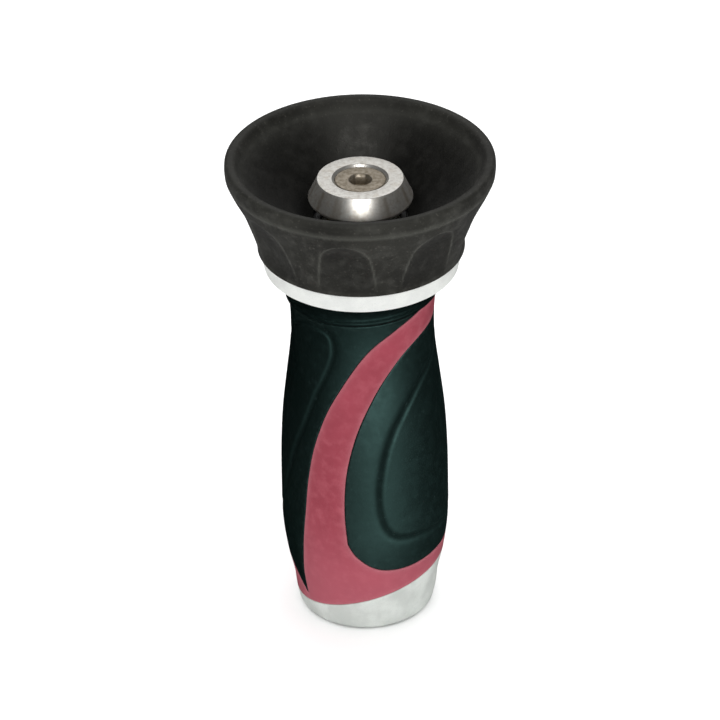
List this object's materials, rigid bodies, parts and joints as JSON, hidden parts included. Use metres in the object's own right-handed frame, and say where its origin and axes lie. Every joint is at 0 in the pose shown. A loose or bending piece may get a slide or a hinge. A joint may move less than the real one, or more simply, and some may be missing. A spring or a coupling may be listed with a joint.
{
  "type": "fire hose nozzle",
  "caption": "Twist-type hose nozzle: aluminium barrel with a soft palm grip, flared rubber bumper head that screws up to shut against a fixed baffle.",
  "frame": {"origin": "centre of the flat inlet end face, on which the nozzle stands", "axes": "+Z along the barrel from the hose inlet to the outlet; -Y is the front, where the red band sweeps up to the right; +X is to the right of that view"},
  "size_m": [0.0738, 0.0738, 0.1437],
  "materials": {
    "bare_aluminium": "satin, bead-blasted",
    "machined_aluminium": "turned, semi-bright",
    "steel": "plain",
    "brass": "plain",
    "red_grip": "fine moulded matte",
    "black_grip_rubber": "soft matte with a green cast",
    "bumper_rubber": "matte moulded",
    "black_seal_rubber": "smooth",
    "white_acetal": "machined"
  },
  "bodies": {
    "barrel": {"barrel": "bare_aluminium", "hose_washer": "black_seal_rubber", "spider": "brass", "spider_retaining_ring": "steel", "barrel_oring": "black_seal_rubber", "grip_core": "red_grip", "grip_panel_front": "black_grip_rubber", "grip_panel_rear": "black_grip_rubber", "grip_collar": "black_grip_rubber", "stem": "brass", "stem_nut": "steel", "baffle": "machined_aluminium", "baffle_seal": "black_seal_rubber", "baffle_screw": "steel", "screw_lock_washer": "steel"},
    "slide_ring": {"guide_ring": "white_acetal"},
    "head": {"head_sleeve": "bare_aluminium", "head_bumper": "bumper_rubber", "cam_pin_right": "steel", "cam_pin_left": "steel"}
  },
  "joints": [
    {"name": "head_advance", "type": "slide", "parent": "barrel", "child": "slide_ring", "axis": [0, 0, 1], "range_m": [0, 0.0048]},
    {"name": "head_turn", "type": "hinge", "parent": "slide_ring", "child": "head", "pos_m": [0, 0, 0.1132], "axis": [0, 0, 1], "range_deg": [0, 150]}
  ],
  "couplings": [
    {"joint": "head_advance", "follows": "head_turn", "m_per_rad": 0.001833}
  ]
}
